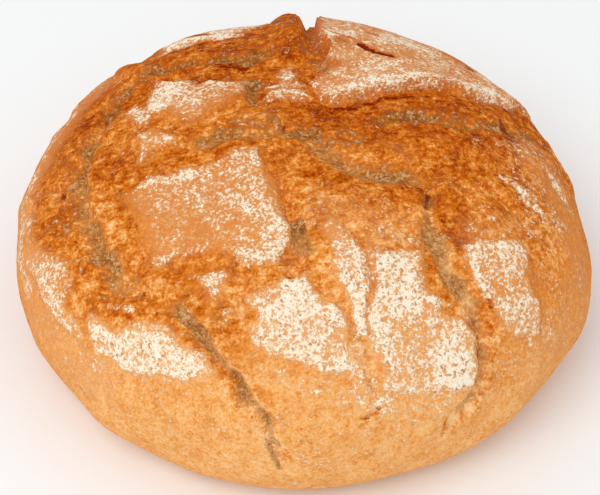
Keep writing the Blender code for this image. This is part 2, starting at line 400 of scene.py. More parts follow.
# The plates on the top, on the front from left to right, at the back right with its ear,
# at the lower left and round the back.
PLATES = (
    Plate(
        ((-64, 49), (-57, 47), (-49, 43), (-44, 37), (-39, 42), (-23, 40), (-23, 33), (-33, 21),
         (-42, 16), (-50, 15), (-57, 19), (-64, 23)),
        rise=1.6, flour=0.58,
    ),
    Plate(((-76, 29), (-69, 31), (-63, 26), (-62, 20), (-66, 17), (-71, 21)), rise=1.2, flour=0.56),
    Plate(
        ((-68, 12), (-62, 14), (-51, 6), (-51, 1), (-60, 0), (-62, -5), (-67, -8), (-66, 2)),
        rise=1.2, flour=0.5,
    ),
    Plate(
        ((-16, 37), (-10, 39), (-9, 48), (-4, 51), (0, 43), (3, 38), (2, 30), (0, 26), (-15, 27),
         (-13, 32)),
        rise=1.2, flour=0.52,
    ),
    Plate(
        ((-76, -20), (-65, -18), (-59, -14), (-50, -12), (-40, -13), (-32, -9), (-26, -5),
         (-17, -4), (-14, -12), (-11, -25), (-8, -35), (-4, -47), (-5, -55), (-10, -59), (-18, -63),
         (-27, -58), (-36, -55), (-47, -56), (-60, -60), (-64, -46), (-68, -32)),
        rise=2.2, flour=0.4, lean=(0.2, 0.1),
    ),
    Plate(
        ((-41, -66), (-30, -65), (-28, -69), (-31, -73), (-35, -77), (-38, -76), (-40, -70)),
        rise=1.4, flour=0.62,
    ),
    Plate(
        ((2, -66), (5, -71), (8, -76), (13, -78), (17, -83), (19, -90), (20, -98), (22, -106),
         (12, -108), (0, -103), (-12, -101), (-19, -97), (-21, -90), (-17, -84), (-22, -79),
         (-21, -75), (-12, -74), (-9, -70)),
        rise=1.6, flour=0.78, lean=(0.0, 0.6),
    ),
    Plate(
        ((9, -44), (13, -42), (20, -50), (26, -56), (27, -68), (28, -78), (27, -92), (23, -91),
         (21, -80), (17, -70), (12, -62), (11, -54)),
        rise=1.4, flour=0.72,
    ),
    Plate(
        ((31, -57), (38, -52), (48, -53), (49, -64), (52, -70), (57, -73), (59, -79), (69, -78),
         (73, -85), (75, -96), (74, -106), (62, -109), (50, -114), (36, -111), (31, -98),
         (29, -86)),
        rise=1.8, flour=0.55,
    ),
    Plate(
        ((64, -46), (73, -41), (85, -39), (90, -42), (91, -51), (95, -58), (102, -68), (101, -76),
         (90, -80), (81, -75), (74, -69), (67, -62), (64, -54)),
        rise=1.8, flour=0.5,
    ),
    Plate(
        ((8, 31), (16, 27), (36, 37), (65, 44), (80, 46), (90, 49), (100, 53), (110, 60), (118, 70),
         (104, 88), (80, 106), (52, 118), (28, 121), (8, 112), (7, 70), (13, 52), (5, 39)),
        rise=2.0, flour=0.44, edge=(-1.6, 0.0),
    ),
    Plate(
        ((-118, -8), (-114, -28), (-104, -38), (-100, -47), (-98, -60), (-93, -78), (-96, -84),
         (-105, -72), (-116, -50), (-124, -30), (-126, -12)),
        rise=1.2, flour=0.46,
    ),
    Plate(
        ((-91, -70), (-86, -72), (-80, -81), (-68, -81), (-60, -82), (-55, -86), (-50, -92),
         (-43, -98), (-35, -109), (-43, -108), (-60, -105), (-72, -102), (-80, -97), (-90, -88)),
        rise=1.4, flour=0.66,
    ),
    Plate(
        ((-62, 82), (-38, 84), (-18, 98), (-14, 124), (-34, 140), (-60, 130), (-73, 100)),
        rise=1.2, flour=0.6, lean=(0.5, -0.6),
    ),
    Plate(
        ((12, 134), (42, 137), (66, 129), (74, 142), (48, 158), (14, 160)),
        rise=1.8, flour=0.56, lean=(-0.6, 0.4),
    ),
    Plate(
        ((94, 110), (114, 92), (124, 102), (112, 124), (94, 132)),
        rise=1.8, flour=0.48, lean=(0.0, -0.6),
    ),
    Plate(
        ((-90, 84), (-104, 62), (-121, 70), (-112, 102), (-92, 112)),
        rise=1.8, flour=0.5, lean=(0.7, 0.3),
    ),
)

# The swellings beside the notch, at the back left and over the right.
RIDGES = (
    Ridge(((-2, 66), (-4, 86), (-5, 104), (-6, 124)), width=30, height=6.2),
    Ridge(((-66, 58), (-80, 76), (-86, 90)), width=18, height=2.6),
    Ridge(((30, 4), (60, 2), (92, 8)), width=30, height=1.0),
)

# The lips of the back right plate, along its front and along the notch.
EARS = (
    Ear(
        ((8, 29), (16, 27), (36, 37), (65, 44), (80, 46), (90, 49), (104, 55)),
        lift=1.6, reach=16.0, hollow=2.0,
    ),
    Ear(((8, 60), (7, 84), (7, 110)), lift=4.4, reach=10.0, hollow=0.0),
)

# Where flour lies thicker or thinner than the plates' own loads.
FLOUR_STROKES = (
    Stroke(((-60, 45), (-60, 28)), 16, 0.26),
    Stroke(((-54, 20), (-42, 20), (-32, 27)), 11, -0.26),
    Stroke(((-34, -26), (-28, -42)), 12, -0.14),
    Stroke(((-20, -7), (-24, -7)), 8, 0.1),
    Stroke(((-17, -20), (-11, -38), (-9, -52)), 13, 0.22),
    Stroke(((-40, -52), (-42, -44)), 16, -0.34),
    Stroke(((-61, -30), (-57, -44)), 14, -0.16),
    Stroke(((-50, -24), (-44, -30)), 12, 0.12),
    Stroke(((-13, -14), (-12, -24)), 7, -0.4),
    Stroke(((-62, -58), (-52, -54)), 6, 0.22),
    Stroke(((11, -45), (13, -50)), 9, -0.34),
    Stroke(((-21, -77), (-19, -86)), 7, -0.3),
    Stroke(((13, -100), (17, -94)), 11, -0.42),
    Stroke(((-30, -30), (-24, -36)), 13, 0.22),
    Stroke(((-24, -58), (-12, -58)), 11, 0.34),
    Stroke(((-61, -16), (-46, -16)), 10, 0.32),
    Stroke(((-44, -55), (-36, -50)), 5, 0.35),
    Stroke(((-58, -50), (-50, -46)), 8, 0.14),
    Stroke(((-75, -20), (-69, -32), (-65, -50)), 16, -0.4),
    Stroke(((-32, -81), (-24, -83)), 5, 0.6),
    Stroke(((-78, -84), (-60, -90), (-46, -98)), 16, 0.14),
    Stroke(((-90, -90), (-74, -102), (-52, -108)), 16, 0.26),
    Stroke(((37, -58), (42, -66), (38, -76)), 20, 0.3),
    Stroke(((62, -94), (65, -103)), 20, 0.36),
    Stroke(((32, -46), (46, -48)), 9, 0.36),
    Stroke(((29, -54), (31, -72), (30, -94)), 7, 0.42),
    Stroke(((22, -74), (25, -86), (24, -102)), 9, 0.42),
    Stroke(((15, -98), (24, -108)), 11, 0.26),
    Stroke(((36, -106), (56, -112)), 10, -0.14),
    Stroke(((-12, -106), (10, -110), (34, -116), (62, -114)), 22, 0.3),
    Stroke(((-10, -118), (30, -126), (60, -120)), 26, 0.08),
    Stroke(((8, -30), (24, -36), (40, -34)), 30, 0.14),
    Stroke(((65, -47), (69, -59), (77, -70)), 4, 0.5),
    Stroke(((69, -46), (78, -60)), 3, 0.3),
    Stroke(((72, -52), (80, -64)), 4, -0.3),
    Stroke(((78, -42), (84, -52)), 10, 0.22),
    Stroke(((84, -62), (94, -74)), 12, 0.04),
    Stroke(((102, -46), (111, -56), (108, -70)), 16, 0.2),
    Stroke(((66, -37), (86, -35)), 7, 0.3),
    Stroke(((83, -7), (94, -12)), 4, 0.6),
    Stroke(((91, -12), (99, -19)), 5, 0.3),
    Stroke(((98, 13), (118, 4)), 10, 0.35),
    Stroke(((68, -25), (84, -33)), 4, 0.4),
    Stroke(((100, 24), (112, 10), (118, -8)), 16, 0.3),
    Stroke(((80, 6), (98, -6), (112, -30), (116, -60)), 34, 0.12),
    Stroke(((84, -88), (98, -84), (112, -72)), 26, 0.16),
    Stroke(((90, 8), (100, -10), (105, -28)), 26, 0.2),
    Stroke(((90, -28), (100, -36)), 14, 0.12),
    Stroke(((30, -42), (48, -46)), 12, 0.12),
    Stroke(((14, 33), (24, 36.5), (36, 42), (65, 49), (86, 50)), 8, 0.34),
    Stroke(((14, 46), (40, 56)), 9, 0.05),
    Stroke(((12, 92), (36, 84), (62, 78)), 10, 0.2),
    Stroke(((-79, -69), (-70, -75)), 4, 0.7),
    Stroke(((-81, -80), (-77, -82)), 6, -0.5),
    Stroke(((-61, -85), (-55, -88)), 9, -0.36),
    Stroke(((8, 62), (8, 84), (8, 112)), 6, -0.6),
    Stroke(((45, 64), (51, 68)), 9, -0.3),
    Stroke(((72, 78), (80, 74)), 9, -0.5),
    Stroke(((8, 44), (15, 53)), 12, -0.42),
    Stroke(((27, 88), (33, 84)), 9, -0.4),
    Stroke(((-126, -46), (-129, -20), (-126, 8), (-120, 32), (-108, 56)), 12, 0.5),
    Stroke(((-114, -52), (-106, -76), (-94, -96)), 22, 0.14),
    Stroke(((-101, -44), (-98, -56)), 8, 0.2),
    Stroke(((-68, 80), (-46, 83), (-28, 86)), 9, 0.55),
    Stroke(((-13, 32), (3, 30)), 3, 0.3),
    Stroke(((-15, 34), (2, 34)), 2, -0.5),
    Stroke(((-121, -22), (-113, -36)), 13, -0.3),
    Stroke(((-60, 10), (-54, 7)), 9, -0.42),
    Stroke(((52, -73), (60, -75)), 8, 0.36),
    Stroke(((32, -118), (36, -117)), 10, 0.3),
    Stroke(((-16, -114), (-10, -114)), 12, -0.16),
    Stroke(((-15, -78), (-12, -76)), 10, -0.24),
    Stroke(((-27, -43), (-22, -45)), 10, -0.14),
    Stroke(((88, -21), (95, -30)), 8, 0.3),
    Stroke(((2, -38), (5, -41)), 8, 0.22),
    Stroke(((92, 85), (100, 75)), 14, -0.5),
    Stroke(((-17, -20), (-16, -26)), 9, -0.25),
    Stroke(((14, 72), (20, 77)), 11, 0.36),
    Stroke(((40, 88), (52, 90)), 10, 0.25),
    Stroke(((15, -49), (17, -52)), 8, -0.25),
    Stroke(((9, 67), (12, 73)), 7, 0.25),
    Stroke(((-4, 38), (-2, 40)), 8, -0.3),
    Stroke(((-56, 1), (-51, 0)), 8, 0.36),
    Stroke(((38, 78), (50, 79)), 12, 0.25),
    Stroke(((-34, -51), (-26, -51)), 8, -0.25),
    Stroke(((-30, -61), (-24, -62)), 8, 0.3),
    Stroke(((-18, -9), (-15, -14)), 7, 0.32),
    Stroke(((-58, -52), (-36, -52)), 7, -0.2),
)

# Where the veil of thin flour is stronger or weaker than on the plates.
DUST_STROKES = (
    Stroke(((-98, 74), (-112, 50), (-126, 20), (-132, -20), (-120, -64), (-98, -100)), 34, 0.58),
    Stroke(((104, 14), (116, 0), (122, -30), (126, -60), (112, -92)), 36, 0.4),
    Stroke(((20, 46), (40, 60), (66, 64), (84, 60)), 44, 0.6),
    Stroke(((16, 84), (40, 92), (66, 92)), 40, 0.6),
    Stroke(((66, -40), (84, -36), (100, -60), (100, -84)), 24, 0.2),
    Stroke(((10, -36), (24, -42), (44, -42)), 22, 0.2),
    Stroke(((29, -50), (31, -72), (30, -100)), 12, 0.3),
    Stroke(((-64, 86), (-30, 88)), 14, 0.4),
    Stroke(((92, 85), (100, 75)), 16, -0.7),
    Stroke(((6, 42), (15, 53)), 12, -0.5),
    Stroke(((-2, 40), (0, 36)), 9, -0.3),
)

# Where grey crumb shows beside the cracks' own veins.
CRUMB_PATCHES = (
    Stroke(((-24, 15), (-4, 12)), 16, 0.5),
    Stroke(((4, 3), (18, -4), (32, -12)), 20, 0.45),
    Stroke(((16, 9), (24, 4)), 10, 0.5),
    Stroke(((36, 2), (46, -4)), 12, 0.4),
    Stroke(((-22, 70), (-6, 84)), 22, 0.32),
    Stroke(((-108, 22), (-98, -4), (-98, -26)), 18, 0.3),
    Stroke(((-90, 46), (-80, 58)), 16, 0.35),
    Stroke(((-66, 62), (-60, 60)), 12, 0.5),
    Stroke(((-27, 60), (-20, 62)), 10, 0.6),
    Stroke(((-86, 36), (-84, 24)), 14, 0.5),
    Stroke(((66, -64), (70, -78)), 10, 0.4),
    Stroke(((-1, -44), (1, -55)), 14, 0.95),
    Stroke(((51, -27), (51, -38), (54, -50), (59, -60), (64, -68)), 11, 0.85),
    Stroke(((69, -70), (72, -79)), 7, 0.8),
    Stroke(((77, -90), (78, -98)), 5, 0.6),
    Stroke(((-16, -137), (-13, -146), (-11, -152)), 5, 0.85),
    Stroke(((-77, -58), (-70, -66), (-62, -71)), 8, 0.5),
)

# Where edges and crests are scorched, and where shade is painted in the same dark brown: under the
# lip of the back right plate and in its narrow slot. Some strokes draw thin dark lines down the
# middles of narrow cracks.
SCORCHES_AND_SHADOWS = (
    Stroke(((-38, 56), (-26, 51)), 14, 0.75),
    Stroke(((40, -20), (50, -22)), 8, 0.6),
    Stroke(((16, -19), (34, -20)), 9, 0.42),
    Stroke(((4, -14), (9, -13)), 7, 0.5),
    # Painted shadow: a dark band under the lip of the back right plate.
    Stroke(((12, 24), (24, 27), (38, 32.5), (65, 40), (92, 44)), 6, 0.42),
    Stroke(((14, 23), (26, 26.5), (38, 31.5), (48, 34.5)), 5, 0.5),
    # Painted shade: the narrow slot in the back right plate drawn dark.
    Stroke(((27, 66), (33, 64.8), (39, 63.4)), 5, 1.6),
    Stroke(((68, 84), (80, 76)), 8, 0.5),
    Stroke(((8, 76), (25, 68)), 3, 0.6),
    Stroke(((46, 65), (51, 64)), 5, 0.45),
    Stroke(((76, 73), (80, 72)), 6, 0.7),
    Stroke(((16, 67), (20, 66)), 5, 0.5),
    Stroke(((30, 82), (35, 82)), 5, 0.6),
    Stroke(((50, -24), (50, -30)), 4, 0.7),
    Stroke(((56, -36), (61, -38)), 6, 0.6),
    Stroke(((-103, -7), (-101, -8)), 5, 0.8),
    Stroke(((88, 28), (91, 24)), 5, 0.8),
    Stroke(((-96, 40), (-93, 40)), 5, 0.7),
    Stroke(((-38, 14), (-28, 12)), 5, 0.4),
    Stroke(((-67, -68), (-63, -72)), 5, 0.6),
    Stroke(((-5, -66), (-5, -69)), 4, 0.7),
    Stroke(((-38, -88), (-43, -86)), 3, 0.5),
    Stroke(((-90, 38), (-88, 36)), 5, 0.6),
    Stroke(((-6, 12), (-2, 9)), 6, 0.5),
    Stroke(((-50, 92), (-44, 90)), 7, 0.9),
    Stroke(((76, -69), (77, -72)), 4, 0.7),
    Stroke(((4, 4), (-20, 2), (-46, -4)), 8, 0.3),
    Stroke(((-74, -22), (-68, -36), (-64, -48)), 8, 0.3),
    Stroke(((34, -119), (31, -124), (28, -128)), 2, 0.6),
    Stroke(((74, -82), (77, -96), (77, -106), (73, -117), (68, -126)), 3, 0.66),
    Stroke(((-27, -110), (-21, -120), (-16, -128)), 3, 0.4),
    Stroke(((-17, -130), (-13, -145), (-11, -152)), 3, 0.55),
)

# Where the bake is deeper or paler than BAKE_DEPTH gives. One paler stroke along the right-hand
# crack is painted light, lifting the shade in it.
BROWNINGS_AND_PAINTED_LIGHT = (
    Stroke(((6, 16), (40, 12), (84, 14)), 34, 0.18),
    Stroke(((-80, 44), (-84, 14), (-60, 10)), 34, -0.2),
    Stroke(((-50, 24), (-20, 18)), 16, -0.14),
    Stroke(((52, -6), (80, -6)), 26, 0.14),
    Stroke(((55, -26), (62, -42)), 18, 0.42),
    Stroke(((-66, -60), (-40, -64), (-24, -70)), 20, 0.08),
    Stroke(((-86, -66), (-72, -74), (-56, -76), (-38, -78)), 18, 0.24),
    Stroke(((-56, -80), (-46, -91), (-37, -101), (-24, -118)), 9, 0.22),
    Stroke(((-84, 4), (-72, -12), (-70, -34)), 18, 0.16),
    Stroke(((-29, -88), (-25, -94)), 16, 0.2),
    Stroke(((-62, -116), (-48, -124)), 26, 0.12),
    Stroke(((14, -66), (22, -84), (26, -102)), 18, -0.22),
    Stroke(((-120, -22), (-110, -23), (-98, -21)), 15, 0.34),
    Stroke(((-95, 36), (-74, 38)), 18, 0.3),
    Stroke(((-84, 68), (-70, 61)), 16, -0.32),
    Stroke(((-108, -32), (-101, -32)), 12, 0.34),
    Stroke(((-34, -108), (-30, -113)), 10, 0.3),
    Stroke(((37, -25), (46, -27)), 11, 0.42),
    Stroke(((-86, -50), (-83, -57)), 10, 0.34),
    Stroke(((4, -17), (12, -17)), 9, 0.4),
    Stroke(((-16, -116), (-12, -119)), 10, 0.34),
    # Painted light: paler crust and crumb along the right-hand crack, lifting its shade.
    Stroke(((53, -42), (62, -64), (67, -72)), 9, -0.4),
    Stroke(((72, -80), (78, -94), (78, -106)), 9, 0.12),
    Stroke(((-80, -24), (-77, -34)), 9, -0.3),
    Stroke(((-50, 49), (-42, 50)), 11, -0.3),
)

# Depth of the bake from the front to the back of the crust map.
BAKE_ALONG = (-150, -118, -85, -60, -30, 0, 25, 60)
BAKE_DEPTH = (0.0, 0.04, 0.26, 0.46, 0.5, 0.66, 0.84, 0.94)


def over_plates(places: Array, read: Callable[[Plate, Array], Array]) -> Array:
    """Reads all of the plates together.

    Args:
        places: places on the crust map, one row each.
        read: what to read of a plate, given how far each place lies inside its outline.

    Returns:
        The highest reading at each place.
    """
    readings = [read(plate, depth_inside(places, plate.outline)) for plate in PLATES]
    return np.max(readings, axis=0)


def painted(places: Array, strokes: tuple[Stroke, ...]) -> Array:
    """The strengths of all of the strokes together, at each place."""
    return sum(stroke.paint(places) for stroke in strokes)


class Noise:
    """Gradient noise in space, drawn once from its seed."""

    CELLS: ClassVar[int] = 256
    GAIN: ClassVar[float] = 1.6

    def __init__(self, seed: int) -> None:
        """Draws the noise's directions.

        Args:
            seed: the draw.
        """
        draws = np.random.default_rng(seed)
        self.order = draws.permutation(self.CELLS)
        ways = draws.normal(size=(self.CELLS, 3))
        self.ways = ways / np.linalg.norm(ways, axis=1, keepdims=True)

    def at(self, points: Array, wavelength: float) -> Array:
        """Reads the noise.

        Args:
            points: places in space, one row each.
            wavelength: the size of its cells.

        Returns:
            Smooth values, roughly between -1 and 1.
        """
        scaled = points / wavelength
        cell = np.floor(scaled).astype(int)
        inner = scaled - cell
        fade = inner**3 * (inner * (inner * 6 - 15) + 10)
        total = np.zeros(len(points))
        for corner in itertools.product((0, 1), repeat=3):
            x, y, z = (cell + corner).T
            index = self.order[x % self.CELLS]
            index = self.order[(index + y) % self.CELLS]
            index = self.order[(index + z) % self.CELLS]
            slope = ((inner - corner) * self.ways[index]).sum(axis=1)
            total += slope * np.where(corner, fade, 1 - fade).prod(axis=1)
        return self.GAIN * total


# ---------------------------------------------------------------- the loaf's form


@dataclass(frozen=True)
class Round:
    """The round of dough under the torn crust."""

    height: float = 98.0
    girth_level: float = 36.0
    girth_radii: tuple[float, ...] = (124, 117, 118, 116, 121, 120, 123, 121, 120, 118, 121, 124)
    crown_fullness: float = 2.3
    heel_fullness: float = 2.2
    sole_share: float = 0.74
    heel_dip: float = 1.5
    profile_points: int = 600

    def profile(self) -> tuple[Array, Array, Array]:
        """Works out the profile from the crown to the middle of the sole.

        Returns:
            Way along the crust, share of the girth's radius, and height.
        """
        turn = np.linspace(0.0, math.pi / 2, self.profile_points)
        upper = self.height - self.girth_level
        lower = self.girth_level + self.heel_dip
        upper_share = np.sin(turn) ** (2 / self.crown_fullness)
        upper_height = self.girth_level + upper * np.cos(turn) ** (2 / self.crown_fullness)
        heel = np.cos(turn) ** (2 / self.heel_fullness)
        lower_share = self.sole_share + (1 - self.sole_share) * heel
        lower_height = self.girth_level - lower * np.sin(turn) ** (2 / self.heel_fullness)
        share = np.concatenate((upper_share, lower_share[1:], [0.0]))
        height = np.concatenate((upper_height, lower_height[1:], [-self.heel_dip]))
        radius = share * np.mean(self.girth_radii)
        steps = np.hypot(np.diff(radius), np.diff(height))
        return np.concatenate(([0.0], np.cumsum(steps))), share, height

    def girth_radius(self, bearing: Array) -> Array:
        """Draws a smooth closed curve through girth_radii.

        Args:
            bearing: bearings round the loaf, in radians from +X towards +Y.

        Returns:
            The girth's radius at each.
        """
        count = len(self.girth_radii)
        terms = np.fft.rfft(self.girth_radii) / count
        radius = np.full(bearing.shape, terms[0].real)
        for order in range(1, count // 2):
            radius += 2 * (terms[order] * np.exp(1j * order * bearing)).real
        return radius


@dataclass(frozen=True)
class CrustPlaces:
    """Where every vertex of the crust lies, on the smooth round and on the crust map.

    The way is a vertex's distance from the crown along the crust, and the full way is the
    distance from the crown to the middle of the sole.
    """

    points: Array
    places: Array
    way: Array
    full_way: float


@dataclass(frozen=True)
class Relief:
    """The crust's relief over the smooth round: plates, cracks and roughness.

    Each roughness is drawn from the seed below it, and a further layer from the next seed.
    The torn roughness fades in over the way that upper_crust gives, and the whole relief
    over the share of the full way that heel gives.
    """

    wander: Bumps = (17.0, 1.2)
    wander_seeds: tuple[int, int] = (11, 12)
    crumble: Bumps = (4.6, 0.9)
    crumble_seeds: tuple[int, int] = (13, 14)
    edge_slope: float = 1.1
    torn_roughness: tuple[Bumps, ...] = ((13.0, 0.45),)
    torn_seed: int = 21
    swells: tuple[Bumps, ...] = ((70.0, 1.0), (33.0, 0.55))
    swell_seed: int = 31
    fine_roughness: tuple[Bumps, ...] = ((6.5, 0.42), (3.3, 0.34))
    fine_seed: int = 41
    skin_roughness: tuple[Bumps, ...] = ((9.0, 0.18), (2.9, 0.16))
    skin_seed: int = 51
    waves: int = 28
    upper_crust: Span = (150.0, 118.0)
    heel: Span = (0.66, 0.55)

    def unevenness(self, points: Array, wavelength: float, seed: int) -> Array:
        """Smooth bumps of about one wavelength.

        Args:
            points: places in space, one row each.
            wavelength: the bumps' length.
            seed: the draw.

        Returns:
            Values roughly between -1 and 1.
        """
        draws = np.random.default_rng(seed)
        waves = draws.normal(size=(self.waves, 3))
        waves *= 2 * math.pi / (wavelength * np.linalg.norm(waves, axis=1, keepdims=True))
        phases = draws.uniform(0.0, 2 * math.pi, self.waves)
        return np.cos(points @ waves.T + phases).sum(axis=1) / math.sqrt(self.waves)

    def rolling(self, points: Array, layers: tuple[Bumps, ...], seed: int) -> Array:
        """Adds up layers of smooth bumps.

        Args:
            points: places in space, one row each.
            layers: the length and height of each layer's bumps.
            seed: the first layer's draw.

        Returns:
            Heights, which vary round 0.
        """
        return sum(
            height * self.unevenness(points, length, seed + layer)
            for layer, (length, height) in enumerate(layers)
        )

    def rugged(self, points: Array, layers: tuple[Bumps, ...], seed: int) -> Array:
        """Adds up layers of gradient noise.

        Args:
            points: places in space, one row each.
            layers: the length and height of each layer's noise.
            seed: the first layer's draw.

        Returns:
            Heights, which vary round 0.
        """
        return sum(
            height * Noise(seed + layer).at(points, length)
            for layer, (length, height) in enumerate(layers)
        )

    def torn_places(self, crust: CrustPlaces) -> Array:
        """Shifts places on the crust map, so that straight outlines tear unevenly.

        Args:
            crust: the vertices' places.

        Returns:
            The shifted places, one row each.
        """
        length, reach = self.wander
        wide = [self.unevenness(crust.points, length, seed) for seed in self.wander_seeds]
        shifted = crust.places + reach * np.column_stack(wide)
        length, reach = self.crumble
        fine = [Noise(seed).at(crust.points, length) for seed in self.crumble_seeds]
        return shifted + reach * np.column_stack(fine)

    def upper(self, crust: CrustPlaces) -> Array:
        """1 on the torn upper crust, 0 on the smooth lower crust."""
        return smooth_step(*self.upper_crust, crust.way)

    def plates(self, torn: Array) -> tuple[Array, Array]:
        """Raises the plates of first skin.

        Args:
            torn: the vertices' shifted places.

        Returns:
            1 on a plate and 0 off it, and the plates' rise.
        """
        slope = self.edge_slope
        share = over_plates(torn, lambda plate, depth: plate.share(depth, slope))
        rise = over_plates(torn, lambda plate, depth: plate.rise * plate.share(depth, slope))
        return share, rise

    def height(self, crust: CrustPlaces, torn: Array) -> Array:
        """Height of the relief at every vertex.

        Args:
            crust: the vertices' places.
            torn: their shifted places, as torn_places gives them.

        Returns:
            Heights over the smooth round.
        """
        points = crust.points
        plates, rise = self.plates(torn)
        cuts = np.max([fissure.cut(torn) for fissure in FISSURES], axis=0)
        lips = sum(ear.height(torn, plates) for ear in EARS)
        ridges = sum(ridge.swell(torn) for ridge in RIDGES)
        swell = self.rolling(points, self.swells, self.swell_seed)
        rough = self.rolling(points, self.torn_roughness, self.torn_seed)
        rough = rough + self.rugged(points, self.fine_roughness, self.fine_seed)
        skin = self.rugged(points, self.skin_roughness, self.skin_seed)
        bare = (1 - plates) * self.upper(crust)
        heel = smooth_step(*self.heel, crust.way / crust.full_way)
        total = rise - cuts + ridges + lips + rough * bare + skin * (1 - bare) + swell
        return total * heel


@dataclass(frozen=True)
class Painting:
    """Where flour, torn crust, grey crumb, scorch and painted shade show on the crust.

    The spans are measured in different ways: dust_edge inwards from a plate's outline,
    open_top and lower_crust along the crust from the crown, open_front and
    side_bake_and_shade_rise towards the back, and slanting towards the right.
    """

    dust_edge: Span = (-3.0, 5.0)
    flour_on_lower: float = 0.04
    flour_on_torn: float = -0.12
    open_top: Span = (112.0, 92.0)
    open_front: Span = (-72.0, -52.0)
    plate_slope: float = 2.0
    lower_crust: Span = (105.0, 150.0)
    most_scorch_and_shade: float = 1.2
    # How much darker the lower crust grows towards the back, and over what span: partly bake,
    # partly painted shade of the side rims.
    side_bake_and_shade: float = 0.4
    side_bake_and_shade_rise: Span = (-140.0, 0.0)
    slanting: Span = (45.0, 75.0)

    def lower(self, crust: CrustPlaces) -> Array:
        """1 on the smooth lower crust, 0 on top."""
        return smooth_step(*self.lower_crust, crust.way)

    def flour(self, crust: CrustPlaces, torn: Array) -> Array:
        """Dusts the crust with grains of flour.

        Args:
            crust: the vertices' places.
            torn: their shifted places.

        Returns:
            The share of the crust that the grains cover, just below 0 where none lie.
        """
        load = over_plates(torn, lambda plate, depth: plate.load(torn, depth))
        bare = 1 - over_plates(torn, lambda plate, depth: smooth_step(*plate.edge, depth))
        more_below = self.flour_on_lower - self.flour_on_torn
        least = self.flour_on_torn + more_below * self.lower(crust)
        load = load + least * bare + painted(torn, FLOUR_STROKES)
        return np.clip(load, self.flour_on_torn, 1.0)

    def dust(self, torn: Array) -> Array:
        """Veils the crust between the grains with thin flour.

        Args:
            torn: the vertices' shifted places.

        Returns:
            The veil's strength.
        """
        edge = self.dust_edge
        veil = over_plates(torn, lambda plate, depth: plate.flour * smooth_step(*edge, depth))
        return np.clip(veil + painted(torn, DUST_STROKES), 0.0, 1.0)

    def veins(self, torn: Array) -> Array:
        """Strength of the grey crumb along the cracks and in patches beside them."""
        cracks = [fissure.vein(torn) for fissure in FISSURES]
        return np.max(cracks + [patch.paint(torn) for patch in CRUMB_PATCHES], axis=0)

    def tears(self, crust: CrustPlaces, torn: Array) -> Array:
        """Tears the crust open along the cracks and over the top.

        Args:
            crust: the vertices' places.
            torn: their shifted places.

        Returns:
            1 where the crust tore open, 0 where its first skin is whole.
        """
        bands = np.max([fissure.torn(torn) for fissure in FISSURES], axis=0)
        front = smooth_step(*self.open_front, torn[:, 1])
        top = smooth_step(*self.open_top, crust.way) * front
        whole = over_plates(torn, lambda plate, depth: plate.share(depth, self.plate_slope))
        return np.maximum(bands, top) * (1 - whole)

    def scorch(self, torn: Array) -> Array:
        """Strength of the dark baking, and of the shade painted under a lip and in a narrow slot.
        """
        return np.clip(painted(torn, SCORCHES_AND_SHADOWS), 0.0, self.most_scorch_and_shade)

    def bake(self, crust: CrustPlaces, torn: Array) -> Array:
        """Bakes the crust.

        Args:
            crust: the vertices' places.
            torn: their shifted places.

        Returns:
            The depth of the bake, from 0 at the pale front to 1 at the brown top. On the lower
            crust it grows towards the back, partly as painted shade of the side rims.
        """
        top = np.interp(crust.places[:, 1], BAKE_ALONG, BAKE_DEPTH)
        top = top + painted(torn, BROWNINGS_AND_PAINTED_LIGHT)
        # Partly painted shade: the lower crust darkens towards its sides and back.
        low = self.side_bake_and_shade * smooth_step(*self.side_bake_and_shade_rise, crust.places[:, 1])
        lower = self.lower(crust)
        return top * (1 - lower) + low * lower

    def slant(self, crust: CrustPlaces) -> Array:
        """1 at the right, where the tears run down slantwise, 0 where they run across."""
        return smooth_step(*self.slanting, crust.places[:, 0])

    def marks(self, crust: CrustPlaces, torn: Array) -> dict[Mark, Array]:
        """Every mark at every vertex.

        Args:
            crust: the vertices' places.
            torn: their shifted places.

        Returns:
            One array of values for each mark.
        """
        return {
            Mark.FLOUR: self.flour(crust, torn),
            Mark.DUST: self.dust(torn),
            Mark.TORN: self.tears(crust, torn),
            Mark.VEIN: self.veins(torn),
            Mark.SCORCH: self.scorch(torn),
            Mark.BAKE: self.bake(crust, torn),
            Mark.SLANT: self.slant(crust),
        }


# ---------------------------------------------------------------- materials


def tint(red: float, green: float, blue: float) -> Colour:
    """Turns a colour as a screen shows it into linear light, by the screen's own curve.

    Args:
        red: its red, 0 to 255.
        green: its green, 0 to 255.
        blue: its blue, 0 to 255.

    Returns:
        The colour as the shader takes it, with nothing see-through.
    """
    levels = (level / 255 for level in (red, green, blue))
    red, green, blue = (
        level / 12.92 if level <= 0.04045 else ((level + 0.055) / 1.055) ** 2.4
        for level in levels
    )
    return (red, green, blue, 1.0)


